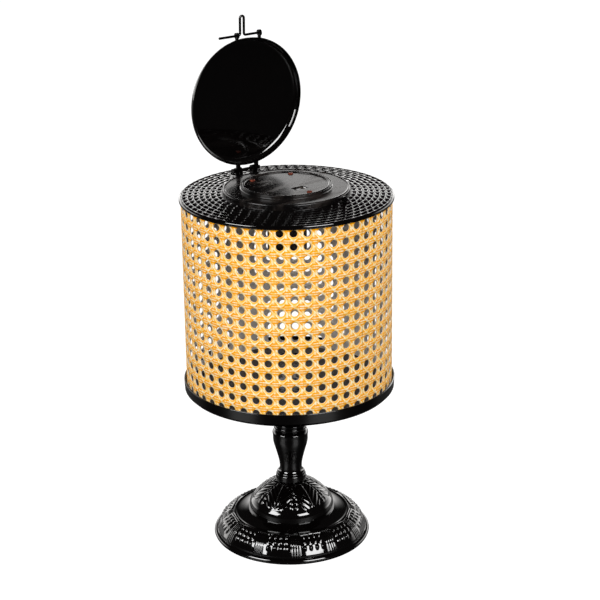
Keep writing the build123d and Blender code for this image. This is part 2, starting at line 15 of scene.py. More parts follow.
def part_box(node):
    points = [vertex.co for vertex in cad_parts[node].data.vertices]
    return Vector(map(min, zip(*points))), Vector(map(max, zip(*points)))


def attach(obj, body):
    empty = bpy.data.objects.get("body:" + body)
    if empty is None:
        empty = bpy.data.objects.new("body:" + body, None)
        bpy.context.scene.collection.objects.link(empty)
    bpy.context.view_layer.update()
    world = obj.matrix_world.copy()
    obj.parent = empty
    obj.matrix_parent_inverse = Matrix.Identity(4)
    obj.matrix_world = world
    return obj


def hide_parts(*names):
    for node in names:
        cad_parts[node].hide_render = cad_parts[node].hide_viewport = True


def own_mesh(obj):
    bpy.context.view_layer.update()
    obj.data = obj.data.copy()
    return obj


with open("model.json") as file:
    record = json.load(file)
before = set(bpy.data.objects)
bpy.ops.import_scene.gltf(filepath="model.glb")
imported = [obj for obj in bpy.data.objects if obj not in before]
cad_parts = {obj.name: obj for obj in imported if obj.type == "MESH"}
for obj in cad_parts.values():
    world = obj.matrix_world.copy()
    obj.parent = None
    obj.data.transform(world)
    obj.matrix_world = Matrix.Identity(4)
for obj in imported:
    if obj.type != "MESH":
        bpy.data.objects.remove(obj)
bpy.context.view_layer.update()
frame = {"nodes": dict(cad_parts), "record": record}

MM = 0.001
AXIS_AZ = -35.0              # the viewer stands this far round from the latch side


def high(node):
    """Highest corner of a CAD node, in millimetres."""
    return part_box(node)[1] / MM


def low(node):
    """Lowest corner of a CAD node, in millimetres."""
    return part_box(node)[0] / MM


# ---- sizes taken from the frame ----------------------------------------------------
BASE_R = high("base_foot").x
BASE_TOP = high("base_foot").z
PLATE_R = high("top_plate").x
PLATE_TOP = high("top_plate").z
PLATE_SKIRT = low("top_plate").z
SHEET_Z0 = low("cane_sheet").z
SHEET_Z1 = high("cane_sheet").z

# perforated sheet, as in the CAD model
PITCH = 12.7
COLUMNS = 50
ROWS = 15
HOLE_R = 3.55
DRUM_R = COLUMNS * PITCH / (2 * pi)
SHEET_T = 1.0
FIRST_COLUMN = 4.25
FIRST_ROW_Z = 347.8
COLUMN_STEP = 360 / COLUMNS


# ---- mesh helpers ------------------------------------------------------------------
def new_object(name, points, faces, smooth=True):
    """Mesh object from points in millimetres."""
    mesh = bpy.data.meshes.new(name)
    mesh.from_pydata((np.asarray(points) * MM).tolist(), [], faces)
    mesh.validate()
    mesh.polygons.foreach_set("use_smooth", [smooth] * len(mesh.polygons))
    obj = bpy.data.objects.new(name, mesh)
    bpy.context.scene.collection.objects.link(obj)
    return obj


def smooth_through(points, steps):
    """Catmull-Rom line through the points, with so many steps in each span."""
    points = [np.array(point, float) for point in points]
    ends = [2 * points[0] - points[1], *points, 2 * points[-1] - points[-2]]
    line = []
    for a, b, c, d in zip(ends, ends[1:], ends[2:], ends[3:]):
        for t in np.arange(steps) / steps:
            line.append(0.5 * (2 * b + (c - a) * t + (2 * a - 5 * b + 4 * c - d) * t**2
                               + (3 * b - a - 3 * c + d) * t**3))
    line.append(points[-1])
    return np.array(line)


def joined(*lines):
    """One line from several; the last point of each but the final one is left out."""
    return np.concatenate([line[:-1] for line in lines[:-1]] + [lines[-1]])


def bridge(here, coarse, there, fine):
    """Faces between two rings of equal count, or where the second has twice the first's."""
    faces = []
    for j in range(coarse):
        k = (j + 1) % coarse
        if fine == coarse:
            faces.append((here + j, there + j, there + k, here + k))
            continue
        left, middle, right = there + 2 * j, there + 2 * j + 1, there + 2 * k
        faces += [
            (here + j, left, middle),
            (here + j, middle, here + k),
            (here + k, middle, right),
        ]
    return faces


def turned(name, outline, counts, relief):
    """Surface of revolution over a closed outline, with so many points round each ring.

    relief(ring, r, z, azimuth) gives how far the points of a ring sink into the solid.
    """
    outline = np.asarray(outline, float)
    along = np.roll(outline, -1, 0) - np.roll(outline, 1, 0)
    along /= np.maximum(np.linalg.norm(along, axis=1, keepdims=True), 1e-9)
    rings, starts = [], []
    for index, ((r, z), (dr, dz), around) in enumerate(zip(outline, along, counts)):
        az = np.arange(around) * 360 / around
        sunk = relief(index, np.full(around, r), np.full(around, z), az)
        turn = np.radians(az)
        out = r + dz * sunk
        starts.append(sum(counts[:index]))
        rings.append(np.stack([out * np.sin(turn), -out * np.cos(turn), z - dr * sunk], 1))
    faces = []
    for i in range(len(outline)):
        n = (i + 1) % len(outline)
        if counts[n] >= counts[i]:
            faces += bridge(starts[i], counts[i], starts[n], counts[n])
        else:
            faces += [face[::-1] for face in bridge(starts[n], counts[n], starts[i], counts[i])]
    return new_object(name, np.concatenate(rings), faces)


def step(edge0, edge1, x):
    """Smooth rise from 0 at edge0 to 1 at edge1."""
    t = np.clip((x - edge0) / (edge1 - edge0), 0, 1)
    return t * t * (3 - 2 * t)


def repeat(az, period, phase=0.0):
    """Azimuth measured from the nearest repeat, in degrees."""
    return (az - phase + period / 2) % period - period / 2


def ridge(x, half):
    """Round-topped ridge, 1 high, with the given half width."""
    return np.sqrt(np.clip(1 - (x / half) ** 2, 0, 1))


def swell(x, y, half_x, half_y):
    """Gentle bump, 1 high, that leaves the ground without a corner."""
    reach = np.minimum(np.hypot(x / half_x, y / half_y), 1)
    return 0.5 + 0.5 * np.cos(pi * reach)


# ---- foot --------------------------------------------------------------------------
BELL_R = 42.0
BAND_R = 57.0                # inner edge of the ornamental border
LIP_R = 76.0                 # outer edge of the border

# points of the outline that two of its lines share, as radius and height
KNEE = (39.2, 37.6)          # bend in the bell's side
RING_END = (55.0, 23.2)      # outer end of the plain ring round the bell
BORDER_START = (57.0, 23.6)
BORDER_END = (75.9, 5.2)
ROD_BORE_R = 4.3
BOSS_R = 10.0
BOSS_Z = 44.0
FOOT_AROUND = 540            # points round each ring of the bell and the underside
BORDER_AROUND = 1080         # points round each ring of the border

RIB_PERIOD = 30.0            # from one group of ribs round the border to the next, degrees
RIB_PHASE = -7 / 3
RIB_STEP = 2.0               # degrees from rib to rib, four to a group
GROUP_HALF = 2 * RIB_STEP
RIB_HEIGHT = 0.42
RIB_CUTS = ((70.4, 0.8, 0.95), (64.9, 0.7, 0.8))     # radius, half width and depth
PANEL_HALF = 10.0            # half of a bead panel, between two groups, in degrees
BEAD_STEP = 4.85             # degrees from bead to bead
BEADS = 4                    # beads in one row of a panel
BEAD_ROWS = ((63.1, 1.7, 2.1), (67.3, 2.0, 2.3), (71.2, 1.5, 2.4))  # radius, half sizes
BEAD_HEIGHT = 0.8
BEAD_SLANT = 0.25
SCALLOP_R = 59.2             # raised edge inside the beads, at the middle of a panel
SCALLOP_BOW = 0.9            # it lies this much further out at the panel's ends
SCALLOP_HEIGHT = 0.9
GROOVE_R = 75.7              # groove along the outer edge of the border
GROOVE_DEPTH = 0.7

LEAF_PERIOD = 60.0           # from one acanthus leaf round the bell to the next, degrees
LEAF_PHASE = -31.0
LEAF_START_R = 13.0
LEAF_END_HALF = 1.6          # half width of a leaf at its ends
LEAF_SWELL = 12.5            # what its middle adds to that
LOBE_STEP = 5.4              # along the leaf, from lobe to lobe
LOBE_SWEEP = 0.9             # slant of the lobes and veins
MIDRIB_HEIGHT = 0.7

# bead pairs between the leaves, as radius and size
PAIRS = ((19.5, 1.1), (22.6, 1.2), (25.9, 1.4), (29.2, 1.5), (32.8, 1.6), (36.2, 1.5))
PAIR_HEIGHT = 0.55


def border_relief(r, az):
    """Rib groups in tiers, bead panels and scalloped inner edge of the foot's border."""
    phi = repeat(az, RIB_PERIOD, RIB_PHASE)
    in_group = 1 - step(GROUP_HALF - 0.1, GROUP_HALF + 0.3, abs(phi))
    along = step(58.4, 60.0, r) * (1 - step(74.9, 75.6, r))
    tiers = 1.0
    for centre, half, depth in RIB_CUTS:
        tiers = tiers - depth * ridge(r - centre, half)
    ribs = RIB_HEIGHT * 2 * abs(repeat(phi, RIB_STEP)) / RIB_STEP
    lift = in_group * along * tiers * ribs
    across = repeat(az, RIB_PERIOD, RIB_PHASE + RIB_PERIOD / 2)
    in_panel = 1 - step(PANEL_HALF, PANEL_HALF + 0.4, abs(across))
    for centre, half_r, half_x in BEAD_ROWS:
        for k in range(BEADS):
            x = np.radians(across - (k - (BEADS - 1) / 2) * BEAD_STEP) * r
            slanted = x + BEAD_SLANT * (r - centre)
            lift = lift + BEAD_HEIGHT * in_panel * swell(slanted, r - centre, half_x, half_r)
    scallop = SCALLOP_R + SCALLOP_BOW * (across / PANEL_HALF) ** 2
    edge = ridge(r - scallop, 1.2) * (1 - step(PANEL_HALF - 0.4, PANEL_HALF + 0.6, abs(across)))
    groove = ridge(r - GROOVE_R, 0.5)
    return lift + SCALLOP_HEIGHT * edge - GROOVE_DEPTH * groove


def leaf_relief(r, az):
    """Acanthus leaves with lobes and veins, and paired bead columns, on the bell."""
    length = BELL_R - LEAF_START_R
    t = (r - LEAF_START_R) / length
    phi = repeat(az, LEAF_PERIOD, LEAF_PHASE + LEAF_PERIOD / 2)
    x = np.radians(phi) * r
    width = LEAF_END_HALF + LEAF_SWELL * np.sin(pi * np.clip(t * 0.95 + 0.02, 0, 1)) ** 0.8
    vein = (t * length + LOBE_SWEEP * abs(x)) / LOBE_STEP
    lobe = 0.5 + 0.5 * np.cos(2 * pi * vein)
    inside = 1 - step(width * (0.72 + 0.22 * lobe), width * (0.84 + 0.22 * lobe), abs(x))
    body = inside * (0.12 + 0.45 * lobe * step(0.6, 2.4, abs(x)))
    midrib = inside * swell(x, 0 * x, 2.0, 1) * MIDRIB_HEIGHT
    fade = step(14.0, 16.0, r) * (1 - step(37.0, 38.6, r))
    lift = np.maximum(body, midrib) * fade
    between = repeat(az, LEAF_PERIOD, LEAF_PHASE)
    for centre, size in PAIRS:
        for side in (-1, 1):
            bead_x = np.radians(between) * r - side * (0.6 + 0.055 * centre)
            bead = swell(bead_x, r - centre, 1.2 * size, 1.2 * size)
            lift = np.maximum(lift, PAIR_HEIGHT * bead)
    return lift


def foot_relief(r, az):
    """Height of the ornament on the upper side of the foot."""
    ornament = np.where(r < BELL_R - 0.5, leaf_relief(r, az), 0.0)
    on_border = (r > BAND_R - 0.2) & (r < LIP_R + 0.3)
    return np.where(on_border, border_relief(r, az), ornament)


def make_foot():
    """Cast foot, hollow below, with the boss for the tie rod."""
    top = joined(
        smooth_through([(12.5, BASE_TOP), (24, 51.3), (32.3, 45.0), KNEE], 18),
        smooth_through([KNEE, (41.3, 34.8), (42.4, 31.4), (43.0, 27.2)], 5),
        smooth_through([(43.2, 25.7), (47.5, 24.4), (52.0, 23.5), RING_END], 3),
        smooth_through([RING_END, BORDER_START], 3),
        smooth_through([BORDER_START, (63, 21.4), (70, 15.4), BORDER_END], 12),
        smooth_through([BORDER_END, (77.7, 3.9), (BASE_R, 2.0), (BASE_R - 1.0, 0.0)], 2),
    )
    under = [
        (74.5, 0.0), (67, 13.2), (60.5, 18.2), (52, 20.0), (43, 24.0), (36, 34), (22, 47.5),
        (BOSS_R, 51), (BOSS_R, BOSS_Z), (ROD_BORE_R, BOSS_Z), (ROD_BORE_R, BASE_TOP),
    ]
    on_bell = int(np.searchsorted(top[:, 0], RING_END[0]))
    counts = [FOOT_AROUND] * on_bell + [BORDER_AROUND] * (len(top) - on_bell)
    counts += [FOOT_AROUND] * len(under)

    def relief(ring, r, z, az):
        return -foot_relief(r, az) if ring < len(top) else 0.0 * r

    foot = turned("foot_casting", np.concatenate([top, under]), counts, relief)
    foot.data.set_sharp_from_angle(angle=radians(50))
    return foot


# ---- top plate ---------------------------------------------------------------------
PLATE_HOLE_R = 60.2
PLATE_FLAT_R = 64.5          # the plate is level from here inwards
PLATE_FALL = 2.1             # and falls this much from here to the rolled edge
PLATE_RINGS = 90
PLATE_AROUND = 960           # points round each ring of the upper side
PLATE_UNDER_AROUND = 480
ROLL_R = 1.5
ROLL_START_R = PLATE_R - 1.6
SKIRT_INNER_R = DRUM_R + 0.45

WEAVE_R0 = 62.6
WEAVE_STEP = 5.5             # radial distance between rows of the basket weave
WEAVE_ROWS = 7
WEAVE_CELL = 9.6             # length of one cell along its row
HOLLOW_DEPTH = 1.35
STRAND_RISE = 0.45
CREST_RISE = 0.3             # what the top of a strand's wave adds


def weave_relief(r, z, az):
    """Rows of crescent hollows between wavy raised strands; a hollow counts as positive."""
    row = np.floor((r - WEAVE_R0) / WEAVE_STEP)
    q = ((r - WEAVE_R0) / WEAVE_STEP - row - 0.5) * 2
    cells = np.round(2 * pi * (WEAVE_R0 + (row + 0.5) * WEAVE_STEP) / WEAVE_CELL)
    cell = 360 / np.maximum(cells, 1)
    p = repeat(az, cell, row * cell / 2) / (cell / 2)
    bent = q + 0.45 * (1 - p**2) - 0.2
    hollow = step(0.0, 1.0, 1 - (abs(p) / 0.98) ** 2.2 - (abs(bent) / 0.88) ** 2.0)
    crest = CREST_RISE * np.cos(pi * p) * (1 - abs(q))
    inside = (row >= 0) & (row < WEAVE_ROWS) & (z > PLATE_SKIRT + 3.4)
    return np.where(inside, HOLLOW_DEPTH * hollow - STRAND_RISE - crest * (1 - hollow), 0.0)


def make_top_plate():
    """Embossed ring with a rolled edge and a turned-down rim."""
    edge_z = PLATE_TOP - PLATE_FALL
    slope = np.linspace(0, 1, PLATE_RINGS)
    radii = (1 - slope) * PLATE_HOLE_R + slope * ROLL_START_R
    fall = PLATE_FALL * (radii - PLATE_FLAT_R) / (ROLL_START_R - PLATE_FLAT_R)
    height = np.where(radii < PLATE_FLAT_R, PLATE_TOP, PLATE_TOP - fall)
    surface = np.stack([radii, height], 1)
    roll = [
        (ROLL_START_R + ROLL_R * sin(a), edge_z - ROLL_R + ROLL_R * cos(a))
        for a in np.linspace(0.3, pi / 2, 5)
    ]
    skirt = [
        (PLATE_R, PLATE_SKIRT + 0.4),
        (PLATE_R - 0.3, PLATE_SKIRT),
        (SKIRT_INNER_R, PLATE_SKIRT),
        (SKIRT_INNER_R, edge_z - 2.2),
        (DRUM_R - 0.8, edge_z - 1.4),
        (62, PLATE_TOP - 1.9),
        (PLATE_HOLE_R, PLATE_TOP - 1.4),
    ]
    counts = [PLATE_AROUND] * (len(surface) + len(roll)) + [PLATE_UNDER_AROUND] * len(skirt)

    def relief(ring, r, z, az):
        return weave_relief(r, z, az) if ring < len(surface) else 0.0 * r

    plate = turned("embossed_top", np.concatenate([surface, roll, skirt]), counts, relief)
    plate.data.set_sharp_from_angle(angle=radians(60))
    return plate


# ---- perforated cane sheet ---------------------------------------------------------
HOLE_SIDES = 24
SIDE = HOLE_SIDES // 4
EDGE_REACH, EDGE_DEPTH = 0.22, 0.2       # rounding of a hole's outer edge
BACK_REACH, BACK_DEPTH = 0.12, 0.1       # and of its inner edge
FIRST_BARE_STRIP = 2         # strips of faces from here inwards show the sheet's back
WELD = 1e-6                  # points of two cells that are closer than this, in metres, join


def cell_rim(half, z_low, z_high):
    """Points round one cell, starting at its lower left corner, anticlockwise."""
    k = np.arange(SIDE) / SIDE
    across = -half + 2 * half * k
    up = z_low + (z_high - z_low) * k
    down = z_high + (z_low - z_high) * k
    return np.concatenate([
        np.stack([across, np.full(SIDE, z_low)], 1),
        np.stack([np.full(SIDE, half), up], 1),
        np.stack([-across, np.full(SIDE, z_high)], 1),
        np.stack([np.full(SIDE, -half), down], 1),
    ])


def hole_ring(radius):
    """Points round a hole, in step with the cell's rim."""
    a = np.radians(225 + np.arange(HOLE_SIDES) * 360 / HOLE_SIDES)
    return np.stack([radius * np.cos(a), radius * np.sin(a)], 1)


def cell_rings(rim):
    """Outlines of one cell, from the outer face inwards, with their depth in the sheet."""
    return (
        (rim, 0.0),
        (hole_ring(HOLE_R + EDGE_REACH), 0.0),
        (hole_ring(HOLE_R), EDGE_DEPTH),
        (hole_ring(HOLE_R), SHEET_T - BACK_DEPTH),
        (hole_ring(HOLE_R + BACK_REACH), SHEET_T),
        (rim, SHEET_T),
    )


def cell_faces(start, strips, row):
    """Faces of one cell, and for each whether it shows the sheet's back."""
    faces, bare = [], []
    for strip in range(strips):
        a, b = start + strip * HOLE_SIDES, start + (strip + 1) * HOLE_SIDES
        for j in range(HOLE_SIDES):
            n = (j + 1) % HOLE_SIDES
            faces.append((a + j, a + n, b + n, b + j))
            bare.append(strip >= FIRST_BARE_STRIP)
    closing = []                 # the cut edges along the sheet's top and bottom
    if row == 0:
        closing += range(2 * SIDE, 3 * SIDE)
    if row == ROWS - 1:
        closing += range(0, SIDE)
    inner = start + strips * HOLE_SIDES
    for j in closing:
        n = (j + 1) % HOLE_SIDES
        faces.append((start + n, start + j, inner + j, inner + n))
        bare.append(False)
    return faces, bare


def make_cane_drum():
    """Rolled sheet with one hole in each cell; UV counts cells round and up."""
    half = PITCH / 2
    points, faces, uvs, inner_face = [], [], [], []
    for column in range(COLUMNS):
        for row in range(ROWS):
            centre_z = FIRST_ROW_Z - row * PITCH
            z_high = SHEET_Z1 - centre_z if row == 0 else half
            z_low = SHEET_Z0 - centre_z if row == ROWS - 1 else -half
            rings = cell_rings(cell_rim(half, z_low, z_high))
            more, bare = cell_faces(len(points), len(rings) - 1, row)
            faces += more
            inner_face += bare
            for ring, depth in rings:
                for u, v in ring:
                    turn = radians(FIRST_COLUMN + column * COLUMN_STEP) + u / DRUM_R
                    r = DRUM_R - depth
                    points.append((r * sin(turn), -r * cos(turn), centre_z + v))
                    uvs.append((column + u / PITCH, (centre_z + v - FIRST_ROW_Z) / PITCH))
    sheet = new_object("cane_drum", points, faces)
    layer = sheet.data.uv_layers.new(name="cells")
    picked = np.empty(len(sheet.data.loops), int)
    sheet.data.loops.foreach_get("vertex_index", picked)
    layer.data.foreach_set("uv", np.asarray(uvs)[picked].ravel())
    sheet.data.polygons.foreach_set("material_index", [int(i) for i in inner_face])
    merged = bmesh.new()
    merged.from_mesh(sheet.data)
    bmesh.ops.remove_doubles(merged, verts=merged.verts, dist=WELD)
    merged.to_mesh(sheet.data)
    merged.free()
    sheet.data.set_sharp_from_angle(angle=radians(50))
    return sheet


# ---- return spring of the trap -----------------------------------------------------
SPRING_WIRE_R = 0.7
SPRING_TURNS = 8
SPRING_ROOM = 0.1            # room under the stop collar
FLAT_TURN = 0.8              # part of a turn that lies flat at each end
STEPS_A_TURN = 32
WIRE_SIDES = 10


def make_spring():
    """Coil with flat end turns, between the can's bottom and the stop collar."""
    bottom = low("trap_spring").z + SPRING_WIRE_R
    top = high("trap_spring").z - SPRING_WIRE_R - SPRING_ROOM
    coil_r = high("trap_spring").x - SPRING_WIRE_R
    steps, sides = STEPS_A_TURN * SPRING_TURNS, WIRE_SIDES
    along = np.arange(steps + 1) / steps
    turn = 2 * pi * SPRING_TURNS * along
    climb = np.clip((along * SPRING_TURNS - FLAT_TURN) / (SPRING_TURNS - 2 * FLAT_TURN), 0, 1)
    round_wire = 2 * pi * np.arange(sides) / sides
    radius = coil_r + SPRING_WIRE_R * np.cos(round_wire)[None, :]
    points = np.stack([
        radius * np.sin(turn)[:, None],
        -radius * np.cos(turn)[:, None],
        (bottom + (top - bottom) * climb)[:, None] + SPRING_WIRE_R * np.sin(round_wire)[None, :],
    ], -1)
    faces = [tuple(range(sides)), tuple(steps * sides + j for j in reversed(range(sides)))]
    for i in range(steps):
        for j in range(sides):
            k = (j + 1) % sides
            faces.append((i * sides + j, (i + 1) * sides + j, (i + 1) * sides + k, i * sides + k))
    return new_object("return_spring", points.reshape(-1, 3), faces)


# ---- node materials ----------------------------------------------------------------
class Nodes:
    """Short way to write the nodes of a tree."""

    def __init__(self, tree):
        self.tree = tree

    def add(self, kind, **inputs):
        node = self.tree.nodes.new(kind)
        for key, value in inputs.items():
            self.put(node, key, value)
        return node

    def put(self, node, key, value):
        socket = node.inputs[key]
        if isinstance(value, bpy.types.NodeSocket):
            self.tree.links.new(value, socket)
        else:
            socket.default_value = value

    def math(self, operation, a, b=0.0):
        node = self.tree.nodes.new("ShaderNodeMath")
        node.operation = operation
        self.put(node, 0, a)
        self.put(node, 1, b)
        return node.outputs[0]

    def rise(self, low_edge, high_edge, value):
        """Smooth rise from 0 to 1 between two edges."""
        node = self.tree.nodes.new("ShaderNodeMapRange")
        node.interpolation_type = "SMOOTHSTEP"
        self.put(node, "Value", value)
        self.put(node, "From Min", low_edge)
        self.put(node, "From Max", high_edge)
        return node.outputs["Result"]

    def scaled(self, value, to_min, to_max):
        """A 0 to 1 value stretched over another range."""
        node = self.tree.nodes.new("ShaderNodeMapRange")
        self.put(node, "Value", value)
        self.put(node, "To Min", to_min)
        self.put(node, "To Max", to_max)
        return node.outputs["Result"]

    def mix(self, factor, a, b):
        node = self.tree.nodes.new("ShaderNodeMix")
        node.data_type = "RGBA"
        for socket, value in ((0, factor), (6, a), (7, b)):     # 6 and 7 are its colours
            self.put(node, socket, value)
        return node.outputs[2]

    def place(self):
        return self.tree.nodes.new("ShaderNodeTexCoord").outputs["Object"]

    def noise(self, scale, detail=3.0, vector=None):
        node = self.tree.nodes.new("ShaderNodeTexNoise")
        self.put(node, "Vector", self.place() if vector is None else vector)
        self.put(node, "Scale", scale)
        self.put(node, "Detail", detail)
        return node.outputs[0]


class Finish(Nodes):
    """Nodes of a new material, round its Principled shader."""

    def __init__(self, name):
        self.material = bpy.data.materials.new(name)
        self.material.use_nodes = True
        super().__init__(self.material.node_tree)
        self.shader = self.tree.nodes["Principled BSDF"]

    def bump(self, height, distance, strength=1.0):
        node = self.add("ShaderNodeBump", Height=height, Distance=distance, Strength=strength)
        self.put(self.shader, "Normal", node.outputs[0])

    def surface(self, **inputs):
        for key, value in inputs.items():
            self.put(self.shader, key.replace("_", " "), value)


def colour(red, green, blue):
    """Linear colour from 8-bit display values."""
    def linear(c):
        c = c / 255
        return c / 12.92 if c <= 0.04045 else ((c + 0.055) / 1.055) ** 2.4
    return (linear(red), linear(green), linear(blue), 1.0)


ENAMEL_IOR = 1.78
WORN_IOR = 1.4
GLOSS_ROUGH = 0.05           # roughness of clean enamel


def enamel(name, ripple, smudge):
    """Gloss black enamel with a faint ripple and handling smudges."""
    n = Finish(name)
    n.put(n.shader, "IOR", ENAMEL_IOR)
    smudges = n.rise(0.45, 0.72, n.noise(26.0, 4.0))
    specks = n.rise(0.70, 0.74, n.noise(900.0, 1.0))
    tone = n.mix(n.math("MULTIPLY", specks, 0.2), colour(3, 2, 2), colour(44, 40, 38))
    n.surface(Base_Color=tone, Roughness=n.scaled(smudges, GLOSS_ROUGH, GLOSS_ROUGH + smudge))
    n.bump(n.noise(150.0, 2.0), ripple)
    return n.material


def worn_enamel():
    """Enamel dulled by ash and cleaning: satin, with brown-grey streaks."""
    n = Finish("worn_enamel")
    n.put(n.shader, "IOR", WORN_IOR)
    stretched = n.add(
        "ShaderNodeMapping", Vector=n.place(), Scale=(1.0, 3.0, 1.0), Rotation=(0, 0, 0.9)
    )
    streaks = n.rise(0.42, 0.70, n.noise(34.0, 6.0, stretched.outputs[0]))
    dust = n.rise(0.5, 0.75, n.noise(260.0, 3.0))
    ash = n.math("MULTIPLY", streaks, n.scaled(dust, 0.35, 0.8))
    tone = n.mix(ash, colour(8, 7, 7), colour(50, 43, 39))
    n.surface(Base_Color=tone, Roughness=n.scaled(streaks, 0.16, 0.34))
    n.bump(n.noise(420.0, 2.0), 0.00002)
    return n.material


# The print, in parts of the pitch: 0 is the middle of a cell, 0.5 its border with the next.
SHIFT_U = (-0.085, -0.015)   # it sits right of and below the punched holes, and wavers
SHIFT_V = (0.055, 0.125)
SQUARE_HALF = 0.305          # octagon round a hole: a square with its corners cut
CORNER_CUT = 0.42
STRAND_AT = 0.405            # middle of the upright and level strands
STRAND_HALF = 0.055
SLANT_REACH = 0.33           # a slanting strand shows this far from the hole's middle
SEAM_HALF = 0.022


def cane_print():
    """Printed cane weave: cream strands, pale orange between them and golden shadow lines."""
    n = Finish("cane_print")
    uv = n.tree.nodes.new("ShaderNodeUVMap")
    uv.uv_map = "cells"
    split = n.add("ShaderNodeSeparateXYZ", Vector=uv.outputs[0])
    u = n.math("ADD", split.outputs[0], n.scaled(n.noise(70.0, 2.0), *SHIFT_U))
    v = n.math("ADD", split.outputs[1], n.scaled(n.noise(64.0, 2.0), *SHIFT_V))
    pu = n.math("SUBTRACT", u, n.math("ROUND", u))
    pv = n.math("SUBTRACT", v, n.math("ROUND", v))
    au = n.math("ABSOLUTE", pu)
    av = n.math("ABSOLUTE", pv)
    falling = n.math("ADD", pu, pv)
    rising = n.math("SUBTRACT", pu, pv)
    off_back = n.math("SUBTRACT", n.math("ABSOLUTE", falling), 0.5)
    off_slash = n.math("SUBTRACT", n.math("ABSOLUTE", rising), 0.5)

    def line(distance, half, soft=0.02):
        beyond = n.rise(half - soft, half + soft, n.math("ABSOLUTE", distance))
        return n.math("SUBTRACT", 1.0, beyond)

    def shifted(distance, amount):
        return n.math("SUBTRACT", distance, amount)

    def both(a, b):
        return n.math("MULTIPLY", a, b)

    def either(a, b):
        return n.math("MAXIMUM", a, b)

    def without(a, b):
        return n.math("MULTIPLY", a, n.math("SUBTRACT", 1.0, b))

    near_row = line(pu, SLANT_REACH)
    near_column = line(pv, SLANT_REACH)
    slash_light = both(line(shifted(off_slash, -0.06), 0.075), near_row)
    slash_dark = both(line(shifted(off_slash, 0.08), 0.075), near_row)
    back_light = both(line(shifted(off_back, 0.03), 0.055), near_column)
    back_dark = both(line(shifted(off_back, 0.12), 0.05), near_column)
    gap_u = both(line(shifted(au, 0.5), 0.03), line(shifted(av, 0.36), 0.12, 0.04))
    gap_v = both(line(shifted(av, 0.5), 0.045), line(shifted(au, 0.34), 0.17, 0.04))
    edge_u = both(line(shifted(au, 0.31), 0.03), line(shifted(av, 0.42), 0.10, 0.04))
    edge_v = both(line(shifted(av, 0.31), 0.055), line(shifted(au, 0.42), 0.12, 0.04))
    square = both(line(pu, SQUARE_HALF), line(pv, SQUARE_HALF))
    octagon = both(square, both(line(falling, CORNER_CUT), line(rising, CORNER_CUT)))
    faint = n.scaled(n.noise(120.0, 2.0), 0.35, 1.3)
    upright = n.math("MULTIPLY", either(gap_u, edge_u), 0.34)
    gold_lines = either(upright, n.math("MULTIPLY", gap_v, 0.8))
    gold_lines = both(either(gold_lines, edge_v), faint)
    gold_lines = either(without(gold_lines, back_light), n.math("MULTIPLY", back_dark, 0.8))
    gold_lines = either(without(gold_lines, slash_light), slash_dark)
    strand_u = line(shifted(au, STRAND_AT), STRAND_HALF)
    strand_v = line(shifted(av, STRAND_AT), STRAND_HALF)
    cream_part = either(either(strand_u, strand_v), either(slash_light, back_light))
    cream_part = both(cream_part, n.rise(0.35, 0.62, n.noise(330.0, 4.0)))
    orange = n.mix(n.noise(150.0, 3.0), colour(240, 190, 84), colour(241, 206, 132))
    cream = n.mix(n.noise(500.0, 2.0), colour(242, 222, 172), colour(248, 242, 226))
    gold = n.mix(n.noise(90.0, 2.0), colour(250, 172, 0), colour(236, 146, 0))
    n.put(n.shader, "Specular IOR Level", 0.03)
    patchy = n.scaled(n.noise(240.0, 3.0), 1.0, 2.3)
    shade = n.math("MINIMUM", both(gold_lines, patchy), 1.0)
    print_tone = n.mix(shade, n.mix(cream_part, orange, cream), gold)
    print_tone = n.mix(both(octagon, n.scaled(patchy, 0.36, 0.66)), print_tone, colour(246, 162, 0))
    seam_u = n.math("SUBTRACT", split.outputs[0], 0.5)
    ragged = n.math("ADD", seam_u, n.scaled(n.noise(260.0, 4.0), -0.05, 0.05))
    seam = line(ragged, SEAM_HALF)
    scuffed = n.math("MULTIPLY", seam, n.rise(0.42, 0.6, n.noise(60.0, 3.0)))
    n.surface(
        Base_Color=n.mix(scuffed, print_tone, colour(120, 84, 50)),
        Roughness=n.scaled(n.noise(35.0, 3.0), 0.30, 0.45),
    )
    n.bump(n.math("SUBTRACT", 1.0, shade), 0.00006, 0.6)
    return n.material


def sheet_back():
    """Pale warm grey inside of the drum."""
    n = Finish("sheet_back")
    tone = n.mix(n.noise(60.0, 5.0), colour(214, 204, 194), colour(240, 232, 224))
    n.surface(Base_Color=tone, Roughness=n.scaled(n.noise(80.0, 3.0), 0.4, 0.6))
    return n.material


def plated(name, dark, light, rough):
    """Plated or bare metal with fine mottling."""
    n = Finish(name)
    tone = n.mix(n.noise(140.0, 5.0), dark, light)
    mottled = n.scaled(n.noise(220.0, 3.0), rough, rough + 0.15)
    n.surface(Base_Color=tone, Metallic=1.0, Roughness=mottled)
    n.bump(n.noise(700.0, 2.0), 0.00002)
    return n.material


GLOSS = enamel("black_enamel", 0.00002, 0.07)
CAST = enamel("cast_enamel", 0.00002, 0.03)
WIRE = enamel("black_wire", 0.00003, 0.16)
WORN = worn_enamel()
COPPER = plated("copper_rivet", colour(104, 50, 38), colour(150, 80, 62), 0.45)
ZINC = plated("zinc_steel", colour(150, 152, 156), colour(196, 198, 202), 0.30)
CANE = cane_print()
BACK = sheet_back()

WORN_NODES = ("trap_disc", "collar")
FINISH = {
    "black_enamel": GLOSS,
    "cast_enamel": CAST,
    "black_wire": WIRE,
    "copper_rivet": COPPER,
    "zinc_steel": ZINC,
    "cane_print": CANE,
}


def paint_cad_nodes():
    """Each CAD node gets the detailed finish of its record slot."""
    for part in frame["record"]["subparts"]:
        node = frame["nodes"][part["node"]]
        finish = FINISH[part["material_slot"]]
        for slot in node.material_slots:
            slot.material = WORN if part["node"] in WORN_NODES else finish


